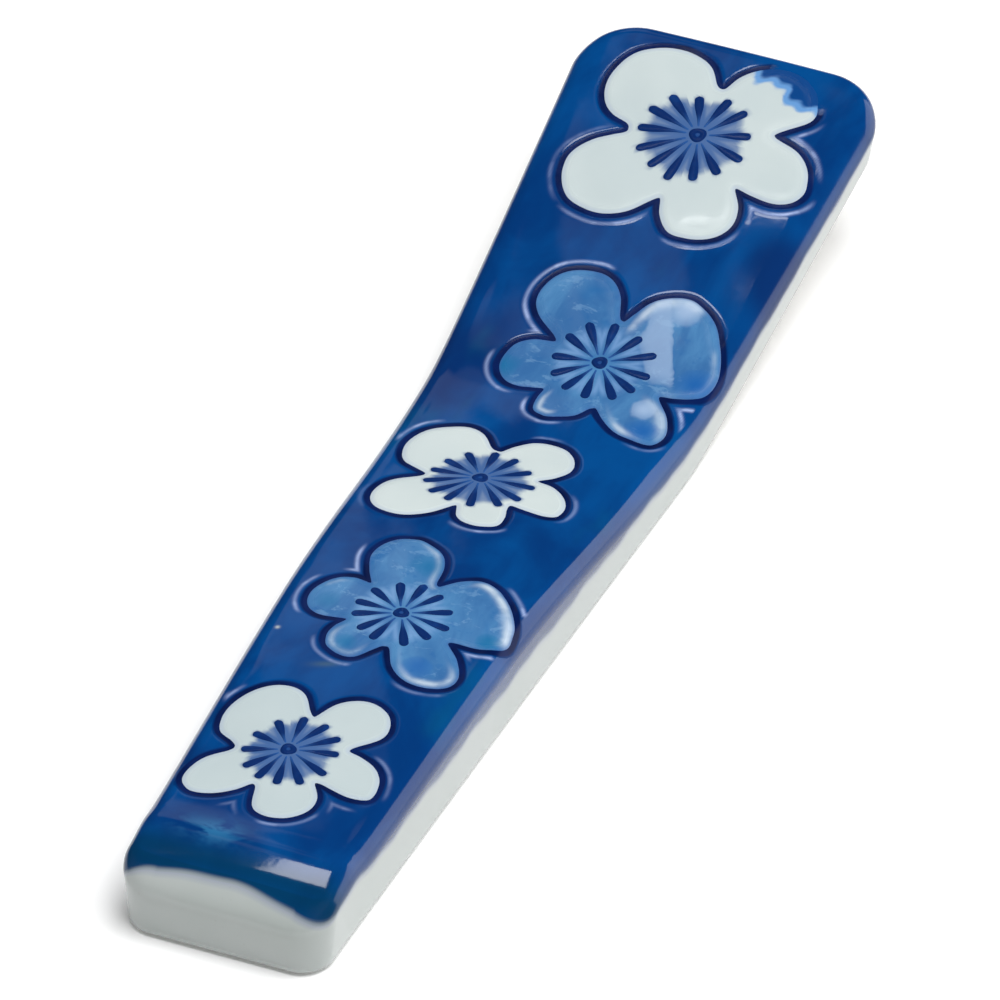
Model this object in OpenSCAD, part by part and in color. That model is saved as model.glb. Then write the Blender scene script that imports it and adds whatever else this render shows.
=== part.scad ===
// Porcelain chopstick rest: a long tapering bar with a low hump, a shallow valley for the
// chopsticks and a wide lip that lifts off the table, decorated with five relief plum blossoms.
// X runs from the narrow end to the lip, Y runs across, Z is up and the foot stands on Z = 0.

/* [Body outline] */
// Length from the narrow end to the tip of the lip
body_length = 72; // [69:1:80]
// Width across the narrow end
narrow_end_w = 11.7; // [11.2:0.1:12.6]
// Width across the tip of the lip
lip_end_w = 17.9; // [17:0.1:19.4]
// How far each side is drawn in halfway along
waist_draw_in = 0.2; // [0:0.05:0.5]
// Plan radius of the two corners at the narrow end
narrow_corner_r = 2; // [1.9:0.05:2.4]
// Plan radius of the two corners at the lip
lip_corner_r = 3.5; // [2.6:0.1:3.8]

/* [Body profile] */
// Height of the top at the narrow end
narrow_end_h = 4.7; // [4.6:0.1:5.4]
// Height of the top at the hump
hump_h = 5.25; // [5:0.05:5.8]
// Distance of the hump from the narrow end
hump_at = 23; // [20:0.5:26]
// Height of the top in the valley where the chopsticks lie
valley_h = 3.55; // [3.3:0.05:4.2]
// Distance of the valley from the narrow end
valley_at = 45; // [42:0.5:48]
// Length over which the top turns from the valley into the lip
valley_turn = 3; // [2:0.5:5]
// Height of the top at the tip of the lip
lip_h = 9.25; // [8.7:0.05:9.8]
// Thickness of the lip at its tip
lip_thickness = 2.8; // [2.6:0.1:3.2]
// Length of the flat foot, from the narrow end
foot_length = 45.5; // [42:0.5:48]
// Length over which the underside turns from the foot into the lip
underside_turn = 2; // [1:0.5:4]

/* [Edges] */
// Radius of the long top edges
side_edge_r = 0.8; // [0.6:0.05:1]
// Radius of the top edge at the narrow end
narrow_edge_r = 1.7; // [1.2:0.1:1.8]
// Radius of the top edge at the tip of the lip
lip_edge_r = 1; // [0.9:0.1:1.4]
// How far the sides lean in from the top edge down to the foot
side_lean = 0.25; // [0:0.05:0.5]
// Bevel round the foot
foot_bevel = 0.3; // [0.1:0.05:0.4]

/* [Glaze] */
// Thickness of the fired glaze
glaze_t = 0.3; // [0.2:0.02:0.4]
// Height of the bare clay left between the clear glaze and the table
bare_foot_h = 0.35; // [0.2:0.05:0.5]
// Height of the white side at the narrow end
white_side_narrow_h = 3.85; // [3.5:0.05:4.1]
// Height of the white side at the lip
white_side_lip_h = 1.75; // [1.5:0.05:2.1]
// Height of the white end face at its middle
white_end_mid_h = 4.54; // [4.2:0.02:4.56]
// Height of the white end face at its corners
white_end_corner_h = 4.2; // [3.8:0.1:4.3]

/* [Blossoms] */
// Thickness of the petals, which stand proud of the blue glaze
petal_t = 0.4; // [0.32:0.02:0.5]
// Thickness of the dark line round the petals, which lies in a groove
outline_t = 0.2; // [0.1:0.02:0.28]
// Thickness of the stamens, which stand proud of the petals
stamen_t = 0.48; // [0.42:0.02:0.56]
// Width of the dark line round the petals
outline_w = 0.26; // [0.16:0.02:0.36]
// Least gap between that line and the rounded edge of the body
edge_clear = 0.12; // [0.08:0.02:0.2]
// Number of stamens on most blossoms
stamen_count = 12; // [10:1:14]
// Number of stamens on the fuller blossoms, in the middle and at the lip
full_stamen_count = 13; // [10:1:14]

/* [Hidden] */

clay_color = [0.90, 0.91, 0.89];
clear_glaze_color = [0.82, 0.85, 0.84];
cobalt_color = [0.03, 0.22, 0.52];
white_petal_color = [0.93, 0.95, 0.93];
pale_petal_color = [0.38, 0.56, 0.80];
outline_color = [0.03, 0.06, 0.25];
stamen_color = [0.05, 0.14, 0.40];

// Blossoms, counted from the narrow end: place along the length as a share of body_length
blossom_x_shares = [0.158, 0.329, 0.515, 0.678, 0.906];
// Place across, as a share of the flat half width there, positive to the left
blossom_y_shares = [0.16, 0.00, 0.12, -0.13, 0.00];
// Reach of the longest petal from the centre, as a share of the flat half width there
blossom_reach_shares = [1.10, 1.10, 0.99, 1.05, 1.03];
// Lines that part the top into one field for each blossom, as shares of body_length
field_edge_shares = [0.244, 0.430, 0.596, 0.787];
// Direction of each petal in degrees, counted from +X towards +Y
petal_angles = [
    [42, 138, 200, 261, 325],
    [17, 88, 155, 223, 294],
    [51, 136, 203, 265, 328],
    [36, 110, 168, 229, 307],
    [53, 136, 203, 258, 316]
];
// Distance of each petal's round end from the centre, as a share of the blossom's reach
petal_centre_shares = [
    [0.59, 0.66, 0.61, 0.66, 0.70],
    [0.69, 0.49, 0.41, 0.68, 0.57],
    [0.60, 0.70, 0.48, 0.55, 0.57],
    [0.63, 0.44, 0.39, 0.61, 0.57],
    [0.56, 0.67, 0.65, 0.63, 0.55]
];
// Radius of each petal's round end, as a share of the blossom's reach
petal_radius_shares = [
    [0.37, 0.31, 0.30, 0.29, 0.30],
    [0.31, 0.28, 0.25, 0.28, 0.42],
    [0.36, 0.30, 0.23, 0.24, 0.29],
    [0.32, 0.27, 0.24, 0.29, 0.43],
    [0.34, 0.33, 0.26, 0.26, 0.31]
];
// Radius of the heart, where the petals join, and of the ring of stamen tips
heart_shares = [0.54, 0.49, 0.51, 0.46, 0.53];
stamen_tip_shares = [0.47, 0.42, 0.44, 0.40, 0.39];
// Radius at which the stamens start, and radius of the pistil
stamen_foot_share = 0.14;
pistil_share = 0.06;
// Edges of the columns round a blossom, as shares of the angle from one stamen to the next;
// the first column holds the stamen
column_edge_shares = [-0.14, 0.14, 0.34, 0.50, 0.66];
columns_per_stamen = len(column_edge_shares);

// Points along one half of the rim
face_steps = 3;
narrow_corner_steps = 5;
steps_per_field = 6;
lip_corner_steps = 6;
lip_face_steps = 4;
// Bands down the glazed edge, and points across each line between two fields
cobalt_bands = 5;
clear_bands = 4;
// Share of the clear glaze's own run that its upper bands follow where it starts on the side
upper_run_share = 0.3;
cross_steps = 4;

blossom_count = len(blossom_x_shares);
half_length = body_length / 2;
lip_rise_run = body_length - valley_at;
underside_rise_run = body_length - foot_length;

// Profile of the top and of the underside
function ease(t) = (1 - cos(180 * t)) / 2;
function bend_run(run, turn) = sqrt(run * run + turn * turn) - turn;
function from_end(x) = x + half_length;
function top_z(x) =
    let (d = from_end(x))
    d < hump_at
    ? narrow_end_h + (hump_h - narrow_end_h) * ease(d / hump_at)
    : d < valley_at
    ? hump_h + (valley_h - hump_h) * ease((d - hump_at) / (valley_at - hump_at))
    : valley_h + (lip_h - valley_h) * bend_run(d - valley_at, valley_turn)
                 / bend_run(lip_rise_run, valley_turn);
function foot_z(x) =
    let (d = from_end(x))
    d < foot_length
    ? 0
    : (lip_h - lip_thickness) * bend_run(d - foot_length, underside_turn)
      / bend_run(underside_rise_run, underside_turn);
function half_w(x) =
    let (t = from_end(x) / body_length)
    (narrow_end_w + (lip_end_w - narrow_end_w) * t) / 2 - waist_draw_in * 4 * t * (1 - t);
function flat_half_w(x) = half_w(x) - side_edge_r;

// Rim of the body: one half of the loop runs from the middle of the narrow end, along -Y and
// round to the middle of the lip, and the other half mirrors it
narrow_corner_x = -half_length + narrow_corner_r;
narrow_corner_y = half_w(narrow_corner_x) - narrow_corner_r;
lip_corner_x = half_length - lip_corner_r;
lip_corner_y = half_w(lip_corner_x) - lip_corner_r;
field_edge_x = [for (s = field_edge_shares) body_length * s - half_length];
side_marks = concat([narrow_corner_x], field_edge_x, [lip_corner_x]);
side_start = face_steps + narrow_corner_steps;
side_steps = steps_per_field * (len(side_marks) - 1);
lip_corner_start = side_start + side_steps;
lip_face_start = lip_corner_start + lip_corner_steps;
half_loop = lip_face_start + lip_face_steps;
loop_n = 2 * half_loop;

function side_x(k) =
    let (field = min(floor(k / steps_per_field), len(side_marks) - 2))
    let (t = k / steps_per_field - field)
    side_marks[field] + (side_marks[field + 1] - side_marks[field]) * t;

// Point of the half loop, drawn in by narrow_in, side_in and lip_in at the three kinds of edge
function half_plan(i, narrow_in, side_in, lip_in) =
    i < face_steps
    ? [-half_length + narrow_in, -narrow_corner_y * i / face_steps]
    : i < side_start
    ? let (a = 90 * (i - face_steps) / narrow_corner_steps)
      [narrow_corner_x - (narrow_corner_r - narrow_in) * cos(a),
       -narrow_corner_y - (narrow_corner_r - side_in) * sin(a)]
    : i <= lip_corner_start
    ? let (x = side_x(i - side_start)) [x, side_in - half_w(x)]
    : i <= lip_face_start
    ? let (a = 90 * (i - lip_corner_start) / lip_corner_steps)
      [lip_corner_x + (lip_corner_r - lip_in) * sin(a),
       -lip_corner_y - (lip_corner_r - side_in) * cos(a)]
    : [half_length - lip_in, -lip_corner_y * (half_loop - i) / lip_face_steps];
function plan(i, narrow_in, side_in, lip_in) =
    i <= half_loop
    ? half_plan(i, narrow_in, side_in, lip_in)
    : let (p = half_plan(loop_n - i, narrow_in, side_in, lip_in)) [p.x, -p.y];

// Radius of the top edge at a point of the loop, blended round the corners
function half_edge_r(i) =
    i <= face_steps
    ? narrow_edge_r
    : i < side_start
    ? narrow_edge_r + (side_edge_r - narrow_edge_r) * (i - face_steps) / narrow_corner_steps
    : i <= lip_corner_start
    ? side_edge_r
    : i < lip_face_start
    ? side_edge_r + (lip_edge_r - side_edge_r) * (i - lip_corner_start) / lip_corner_steps
    : lip_edge_r;
function fold(i) = i <= half_loop ? i : loop_n - i;
function edge_r(i) = half_edge_r(fold(i));
function edge_run(i) = edge_r(i) * PI / 2;
function rim(i) = plan(i, 0, 0, 0);
function side_h(i) = top_z(rim(i).x) - edge_r(i) - foot_z(rim(i).x);

// Point of the glazed edge: down is the distance followed from the flat top over the rounded
// edge and down the side, and depth is the distance below the surface of the glaze
function inset(r, depth, a) = r - (r - depth) * cos(a);
function edge_point(i, down, depth) =
    let (r = edge_r(i))
    let (a = max(0, 90 - down / r * 180 / PI))
    let (below = max(0, down - edge_run(i)))
    let (lean = side_lean * below / side_h(i))
    let (p = plan(i, inset(narrow_edge_r, depth, a) + lean,
                  inset(side_edge_r, depth, a) + lean,
                  inset(lip_edge_r, depth, a) + lean))
    [p.x, p.y, top_z(p.x) - r + (r - depth) * sin(a) - below];

// Height of the white band above the underside, and how far down the blue glaze runs to it
function white_h(i) =
    let (k = fold(i))
    let (t = from_end(rim(i).x) / body_length)
    let (side = white_side_narrow_h + (white_side_lip_h - white_side_narrow_h) * t)
    k < face_steps
    ? white_end_mid_h + (white_end_corner_h - white_end_mid_h) * pow(k / face_steps, 2)
    : k < side_start
    ? white_end_corner_h + (side - white_end_corner_h) * (k - face_steps) / narrow_corner_steps
    : side;
function cobalt_run(i) =
    let (r = edge_r(i))
    let (above = white_h(i) - side_h(i))
    above > 0 ? r * (90 - asin(min(1, above / r))) * PI / 180 : edge_run(i) - above;
function glazed_run(i) = edge_run(i) + side_h(i) - bare_foot_h;
// Place of a band of the clear glaze: all but the last follow the rounded edge where it is white
function clear_run(i, k) =
    let (start = cobalt_run(i))
    let (upper = max(edge_run(i) - start, (glazed_run(i) - start) * upper_run_share))
    k < clear_bands ? start + upper * k / (clear_bands - 1) : glazed_run(i);
function cobalt_ring(k, depth) =
    [for (i = [0:loop_n - 1]) edge_point(i, cobalt_run(i) * k / cobalt_bands, depth)];
function clear_ring(k, depth) =
    [for (i = [0:loop_n - 1]) edge_point(i, clear_run(i, k), depth)];
// Ring of the bare foot, h above the underside and drawn in by bevel
function foot_ring(h, bevel) =
    let (draw = glaze_t + side_lean + bevel)
    [for (i = [0:loop_n - 1])
        let (p = plan(i, draw, draw, draw)) [p.x, p.y, foot_z(p.x) + h]];

// Faces, written counterclockwise from outside and turned over at the end
function flip(faces) = [for (f = faces) [f[2], f[1], f[0]]];
function shift(faces, by) = [for (f = faces) [f[0] + by, f[1] + by, f[2] + by]];
function band(upper, lower, n) =
    [for (i = [0:n - 1])
        let (j = (i + 1) % n)
        each [[upper + i, lower + i, lower + j], [upper + i, lower + j, upper + j]]];
function wall(loop, drop) =
    [for (i = [0:len(loop) - 1])
        let (a = loop[i])
        let (b = loop[(i + 1) % len(loop)])
        each [[a, a + drop, b + drop], [a, b + drop, b]]];
function backwards(list) = [for (i = [len(list) - 1:-1:0]) list[i]];
function steps(from, count) = [for (i = [0:count - 1]) from + i];

// Blossoms: polar points in columns and rings round each centre
function is_full(b) = b == floor(blossom_count / 2) || b == blossom_count - 1;
function stamens_of(b) = is_full(b) ? full_stamen_count : stamen_count;
function columns_of(b) = stamens_of(b) * columns_per_stamen;
function blossom_x(b) = body_length * blossom_x_shares[b] - half_length;
function blossom_y(b) = flat_half_w(blossom_x(b)) * blossom_y_shares[b];
function reach(b) = flat_half_w(blossom_x(b)) * blossom_reach_shares[b];
function column_angle(b, j) =
    let (stamen = floor(j / columns_per_stamen))
    let (share = column_edge_shares[j % columns_per_stamen])
    360 * (stamen + share - column_edge_shares[0]) / stamens_of(b);
function lobe(off_angle, centre, radius) =
    let (aside = centre * sin(off_angle))
    cos(off_angle) <= 0 || abs(aside) >= radius
    ? 0
    : centre * cos(off_angle) + sqrt(radius * radius - aside * aside);
function petal_reach(b, a) =
    reach(b) * max(heart_shares[b],
                   max([for (p = [0:len(petal_angles[b]) - 1])
                           lobe(a - petal_angles[b][p], petal_centre_shares[b][p],
                                petal_radius_shares[b][p])]));
// Room from the centre of a blossom to the start of the rounded edge, in one direction
function room_across(b, a, x) =
    sin(a) == 0
    ? body_length
    : (flat_half_w(x) - blossom_y(b) * sign(sin(a))) / abs(sin(a));
function room_along(b, a) =
    cos(a) <= 0 ? body_length : (half_length - lip_edge_r - blossom_x(b)) / cos(a);
function petal_edge(b, a) =
    let (free = petal_reach(b, a))
    let (room = min(room_along(b, a), room_across(b, a, blossom_x(b) + free * cos(a))))
    min(free, room - outline_w - edge_clear);
function ring_radii(b, a) =
    let (edge = petal_edge(b, a))
    [reach(b) * pistil_share, reach(b) * stamen_foot_share, reach(b) * stamen_tip_shares[b],
     edge, edge + outline_w];
blossom_ring_count = 5;
petal_ring = blossom_ring_count - 2;
outline_ring = blossom_ring_count - 1;
function blossom_plan(b) =
    let (m = columns_of(b))
    concat([for (ring = [0:blossom_ring_count - 1], j = [0:m - 1])
               let (a = column_angle(b, j))
               let (r = ring_radii(b, a)[ring])
               [blossom_x(b) + r * cos(a), blossom_y(b) + r * sin(a)]],
           [[blossom_x(b), blossom_y(b)]]);
function lay(plan_points, t) =
    [for (p = plan_points) [p.x, p.y, top_z(p.x) - glaze_t + t]];

// Faces of a blossom by what they belong to
function pistil_faces(m) =
    [for (j = [0:m - 1]) [blossom_ring_count * m, j, (j + 1) % m]];
function ring_faces(ring, m) = band(ring * m, (ring + 1) * m, m);
function stamen_loop(k, m) =
    let (j = k * columns_per_stamen)
    [m + j, 2 * m + j, 2 * m + j + 1, m + j + 1];
function stamen_faces(k, m) =
    let (q = stamen_loop(k, m))
    [[q[0], q[1], q[2]], [q[0], q[2], q[3]]];
function between_stamen_faces(m) =
    [for (i = [0:2 * m - 1])
        if (floor(i / 2) % columns_per_stamen != 0) ring_faces(1, m)[i]];
function whole_blossom_faces(m) =
    concat(pistil_faces(m), [for (ring = [0:blossom_ring_count - 2]) each ring_faces(ring, m)]);

// A sheet of faces given a thickness, with walls along its edge loops
module slab(plan_points, faces, loops, t) {
    drop = len(plan_points);
    polyhedron(
        points = concat(lay(plan_points, t), lay(plan_points, 0)),
        faces = flip(concat(faces, shift(flip(faces), drop),
                            [for (l = loops) each wall(l, drop)])),
        convexity = 6
    );
}

// Field round a blossom: its edge runs counterclockwise along the rim and the crossing lines.
// Points of the flat top are numbered rim first, then crossing lines, then blossoms
cross_n = cross_steps - 1;
function cross_plan(c) =
    let (x = field_edge_x[c])
    [for (v = [1:cross_n]) [x, flat_half_w(x) * (2 * v / cross_steps - 1)]];
function cross_indices(c) = steps(loop_n + c * cross_n, cross_n);
function mark_index(m) = side_start + m * steps_per_field;
function field_edge(b) =
    b == 0
    ? concat(steps(loop_n - mark_index(1), mark_index(1)), steps(0, mark_index(1) + 1),
             cross_indices(0))
    : b == blossom_count - 1
    ? concat(steps(mark_index(b), loop_n - 2 * mark_index(b) + 1),
             backwards(cross_indices(b - 1)))
    : concat(steps(mark_index(b), steps_per_field + 1), cross_indices(b),
             steps(loop_n - mark_index(b + 1), steps_per_field + 1),
             backwards(cross_indices(b - 1)));
function points_before(b) =
    b == 0 ? 0 : points_before(b - 1) + blossom_ring_count * columns_of(b - 1) + 1;
blossom_start = loop_n + len(field_edge_x) * cross_n;
flat_rim = [for (i = [0:loop_n - 1]) plan(i, narrow_edge_r, side_edge_r, lip_edge_r)];
flat_plan = concat(flat_rim,
                   [for (c = [0:len(field_edge_x) - 1]) each cross_plan(c)],
                   [for (b = [0:blossom_count - 1]) each blossom_plan(b)]);
function outline_indices(b) =
    steps(blossom_start + points_before(b) + outline_ring * columns_of(b), columns_of(b));

// Zip two loops round the same centre into one band of faces, in order of angle
function turned(a) = a < 0 ? a + 360 : a;
function angle_at(b, index) =
    let (p = flat_plan[index])
    turned(atan2(p.y - blossom_y(b), p.x - blossom_x(b)));
function lowest_at(list) = [for (i = [0:len(list) - 1]) if (list[i] == min(list)) i][0];
function from_lowest(list, angles) =
    let (first = lowest_at(angles))
    [for (i = [0:len(list) - 1]) list[(i + first) % len(list)]];
function mid_angles(angles) =
    let (n = len(angles))
    [for (i = [0:n - 1])
        i < n - 1 ? (angles[i] + angles[i + 1]) / 2 : (angles[i] + angles[0] + 360) / 2];
function passed(list, a) = len([for (v = list) if (v < a) v]);
function field_faces(b) =
    let (raw = field_edge(b))
    let (outer = from_lowest(raw, [for (i = raw) angle_at(b, i)]))
    let (inner = outline_indices(b))
    let (outer_mid = mid_angles([for (i = outer) angle_at(b, i)]))
    let (inner_mid = mid_angles([for (j = [0:len(inner) - 1]) column_angle(b, j)]))
    concat([for (j = [0:len(inner) - 1])
               [inner[j], outer[passed(outer_mid, inner_mid[j]) % len(outer)],
                inner[(j + 1) % len(inner)]]],
           [for (k = [0:len(outer) - 1])
               [outer[k], outer[(k + 1) % len(outer)],
                inner[passed(inner_mid, outer_mid[k]) % len(inner)]]]);

// Underside of a loop: strips from side to side, and a fan at each straight end
function end_fan(apex, from, to) =
    [for (k = [from:to - 1]) [apex, (k + 1) % loop_n, k % loop_n]];
narrow_apex = face_steps + 1;
lip_apex = lip_face_start - 1;
underside_faces = concat(
    end_fan(narrow_apex, loop_n - face_steps, loop_n + face_steps),
    [[narrow_apex, loop_n - face_steps, loop_n - narrow_apex]],
    [for (i = [narrow_apex:lip_apex - 1])
        each [[i, loop_n - i, i + 1], [i + 1, loop_n - i, loop_n - i - 1]]],
    [[lip_apex, loop_n - lip_apex, loop_n - lip_face_start]],
    end_fan(lip_apex, lip_face_start, loop_n - lip_face_start)
);

// White porcelain body, from under the glaze down to the bare foot
module porcelain_body() {
    last = cobalt_bands + clear_bands;
    start = len(flat_plan);
    rings = concat([for (k = [1:cobalt_bands]) each cobalt_ring(k, glaze_t)],
                   [for (k = [1:clear_bands]) each clear_ring(k, glaze_t)],
                   foot_ring(foot_bevel, 0), foot_ring(0, foot_bevel));
    color(clay_color) polyhedron(
        points = concat(lay(flat_plan, 0), rings),
        faces = flip(concat(
            [for (b = [0:blossom_count - 1])
                each concat(field_faces(b),
                            shift(whole_blossom_faces(columns_of(b)),
                                  blossom_start + points_before(b)))],
            band(0, start, loop_n),
            [for (k = [0:last]) each band(start + k * loop_n, start + (k + 1) * loop_n, loop_n)],
            shift(underside_faces, start + (last + 1) * loop_n)
        )),
        convexity = 6
    );
}

// Blue glaze over the top and the upper sides, open where the blossoms are
module cobalt_glaze() {
    start = len(flat_plan);
    outside = [for (k = [1:cobalt_bands]) each cobalt_ring(k, 0)];
    inside = [for (k = [1:cobalt_bands]) each cobalt_ring(k, glaze_t)];
    drop = start + cobalt_bands * loop_n;
    fields = [for (b = [0:blossom_count - 1]) each field_faces(b)];
    skin = concat(fields, band(0, start, loop_n),
                  [for (k = [0:cobalt_bands - 2])
                      each band(start + k * loop_n, start + (k + 1) * loop_n, loop_n)]);
    color(cobalt_color) polyhedron(
        points = concat(lay(flat_plan, glaze_t), outside, lay(flat_plan, 0), inside),
        faces = flip(concat(
            skin, shift(flip(skin), drop),
            [for (b = [0:blossom_count - 1]) each wall(backwards(outline_indices(b)), drop)],
            wall(steps(drop - loop_n, loop_n), drop)
        )),
        convexity = 8
    );
}

// Clear glaze over the white lower sides, stopping just above the foot
module clear_glaze() {
    outside = [for (k = [0:clear_bands]) each clear_ring(k, 0)];
    inside = [for (k = [0:clear_bands]) each clear_ring(k, glaze_t)];
    drop = len(outside);
    skin = [for (k = [0:clear_bands - 1]) each band(k * loop_n, (k + 1) * loop_n, loop_n)];
    color(clear_glaze_color) polyhedron(
        points = concat(outside, inside),
        faces = flip(concat(
            skin, shift(flip(skin), drop),
            wall(backwards(steps(0, loop_n)), drop),
            wall(steps(drop - loop_n, loop_n), drop)
        )),
        convexity = 6
    );
}

// Petals of a blossom in one piece, open where the stamens are
module petals(b) {
    m = columns_of(b);
    slab(blossom_plan(b),
         concat(ring_faces(0, m), between_stamen_faces(m), ring_faces(2, m)),
         concat([steps(petal_ring * m, m), backwards(steps(0, m))],
                [for (k = [0:stamens_of(b) - 1]) backwards(stamen_loop(k, m))]),
         petal_t);
}

// Dark line round the petals
module outline(b) {
    m = columns_of(b);
    slab(blossom_plan(b), ring_faces(petal_ring, m),
         [steps(outline_ring * m, m), backwards(steps(petal_ring * m, m))], outline_t);
}

// Stamens and pistil of a blossom, each a raised stroke of its own
module stamens(b) {
    m = columns_of(b);
    points = blossom_plan(b);
    slab(points, pistil_faces(m), [steps(0, m)], stamen_t);
    for (k = [0:stamens_of(b) - 1])
        slab(points, stamen_faces(k, m), [stamen_loop(k, m)], stamen_t);
}

// Blossoms one, three and five are white, and two and four are pale blue
module blossom_1_petals() { color(white_petal_color) petals(0); }
module blossom_1_outline() { color(outline_color) outline(0); }
module blossom_1_stamens() { color(stamen_color) stamens(0); }
module blossom_2_petals() { color(pale_petal_color) petals(1); }
module blossom_2_outline() { color(outline_color) outline(1); }
module blossom_2_stamens() { color(stamen_color) stamens(1); }
module blossom_3_petals() { color(white_petal_color) petals(2); }
module blossom_3_outline() { color(outline_color) outline(2); }
module blossom_3_stamens() { color(stamen_color) stamens(2); }
module blossom_4_petals() { color(pale_petal_color) petals(3); }
module blossom_4_outline() { color(outline_color) outline(3); }
module blossom_4_stamens() { color(stamen_color) stamens(3); }
module blossom_5_petals() { color(white_petal_color) petals(4); }
module blossom_5_outline() { color(outline_color) outline(4); }
module blossom_5_stamens() { color(stamen_color) stamens(4); }

porcelain_body();
cobalt_glaze();
clear_glaze();
blossom_1_petals();
blossom_1_outline();
blossom_1_stamens();
blossom_2_petals();
blossom_2_outline();
blossom_2_stamens();
blossom_3_petals();
blossom_3_outline();
blossom_3_stamens();
blossom_4_petals();
blossom_4_outline();
blossom_4_stamens();
blossom_5_petals();
blossom_5_outline();
blossom_5_stamens();
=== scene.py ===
import math

import bpy
import numpy as np
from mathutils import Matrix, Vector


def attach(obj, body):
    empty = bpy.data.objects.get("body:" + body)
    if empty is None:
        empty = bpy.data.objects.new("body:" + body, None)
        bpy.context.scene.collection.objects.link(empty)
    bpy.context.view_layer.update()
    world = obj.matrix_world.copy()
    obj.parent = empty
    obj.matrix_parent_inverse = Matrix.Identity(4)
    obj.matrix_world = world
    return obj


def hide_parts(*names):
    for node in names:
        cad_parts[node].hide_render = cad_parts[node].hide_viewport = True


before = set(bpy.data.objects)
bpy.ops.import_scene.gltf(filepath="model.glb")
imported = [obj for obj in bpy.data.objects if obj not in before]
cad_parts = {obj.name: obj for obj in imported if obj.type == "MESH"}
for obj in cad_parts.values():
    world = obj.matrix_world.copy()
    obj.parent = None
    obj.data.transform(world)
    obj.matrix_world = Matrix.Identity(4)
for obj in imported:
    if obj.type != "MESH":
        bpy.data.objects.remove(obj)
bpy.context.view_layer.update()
MM = 0.001

# Sizes of the rest, the same as in the CAD
LENGTH, HALF = 72.0, 36.0
NARROW_W, LIP_W = 11.7, 17.9
WAIST = 0.2  # how far the sides curve in
NARROW_CORNER_R, LIP_CORNER_R = 2.0, 3.5
NARROW_H, HUMP_H, VALLEY_H, LIP_H = 4.7, 5.25, 3.55, 9.25
HUMP_AT, VALLEY_AT = 23.0, 45.0
VALLEY_TURN, UNDER_TURN = 3.0, 2.0  # how softly the top and the underside turn up to the lip
LIP_T, FOOT_L = 2.8, 45.5  # thickness of the lip at its tip, and length of the flat foot
SIDE_R, NARROW_R, LIP_R = 0.8, 1.7, 1.0  # radii of the edges of the top
LEAN = 0.25  # how far the sides lean in down to the foot
BARE, BEVEL = 0.35, 0.3  # height of the bare rim, and the bevel under it
GLAZE = 0.3  # thickness of the glaze
WHITE_NARROW, WHITE_LIP = 3.85, 1.75  # height of the white side at the narrow end and at the lip
WHITE_LEFT = 2.0  # the most that this height is on the left side

# What makes the glaze softer than the CAD
INSIDE = 0.016  # keeps the smooth surface inside the box of the CAD facets
CROWN = 0.14  # how much lower the top is at its side edges
SIDE_LONG, SIDE_LONG_LIP, SIDE_DEEP = 1.2, 1.7, 1.0  # the softer rounding along the sides
LEFT_SHARE = 0.4  # how much of that rounding is there on the left side
ROLL_LONG, ROLL_DEEP = 3.9, 2.2  # the softer rounding over the narrow end
ROLL_LESS = 0.45  # how much less of it there is at the left corner
BEAD_H, BEAD_AT, BEAD_W = 0.12, 4.15, 0.95  # swelling of the glaze behind that rounding
LIP_DOWN = 0.01  # how much lower the lip is, so that nothing on it is above the top of the CAD
WAVE = 0.010  # height of the slow waves in the glaze

# Relief on the glaze
GROOVE = -0.025  # height of the bottom of the groove round the petals
PETAL_FOOT = 0.008  # how far above that bottom the petals start
PETAL_RISE, PETAL_CROWN = 0.035, 0.02  # height of the petals, and how far they swell above that
RIDGE_H = 0.02  # height of the pale line outside the groove
PINHOLE, SMUDGE = (-15.69, 5.36), (-17.58, 1.81)  # x and y of two flaws

# Fineness of the meshes
STEP = 0.10  # between rows of points along the top
ACROSS = 150  # quads across the top
CORNER_N = 14  # steps round each corner
RINGS = 11  # rings of cobalt over the edge
CLEAR_RINGS = 12
COLS = 400  # columns round a blossom


# Curves
def ease(t):
    """From 0 to 1 with level ends."""
    return (1 - np.cos(np.pi * t)) / 2


def bend_run(run, turn):
    """A straight rise that starts level and turns up over about turn mm."""
    return np.sqrt(run * run + turn * turn) - turn


def smooth(a, b, v):
    """0 up to a, 1 from b on."""
    t = np.clip((v - a) / (b - a), 0, 1)
    return t * t * (3 - 2 * t)


def bell(v, centre, width):
    return np.exp(-(((v - centre) / width) ** 2))


def quarter(d, long, deep):
    """Drop of a quarter ellipse, d mm in from the end."""
    u = np.clip(1 - d / long, 0, 1)
    return deep * (1 - np.sqrt(1 - u * u))


# Surface of the rest
def top_z(x):
    """Height of the plain profile of the top."""
    d = x + HALF
    low = NARROW_H + (HUMP_H - NARROW_H) * ease(d / HUMP_AT)
    mid = HUMP_H + (VALLEY_H - HUMP_H) * ease((d - HUMP_AT) / (VALLEY_AT - HUMP_AT))
    rise = bend_run(d - VALLEY_AT, VALLEY_TURN) / bend_run(LENGTH - VALLEY_AT, VALLEY_TURN)
    lip = VALLEY_H + (LIP_H - VALLEY_H) * rise
    return np.where(d < HUMP_AT, low, np.where(d < VALLEY_AT, mid, lip))


def foot_z(x):
    """Height of the underside."""
    past = np.maximum(x + HALF - FOOT_L, 0)
    return (LIP_H - LIP_T) * bend_run(past, UNDER_TURN) / bend_run(LENGTH - FOOT_L, UNDER_TURN)


def half_w(x):
    t = (x + HALF) / LENGTH
    return (NARROW_W + (LIP_W - NARROW_W) * t) / 2 - WAIST * 4 * t * (1 - t)


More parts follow.
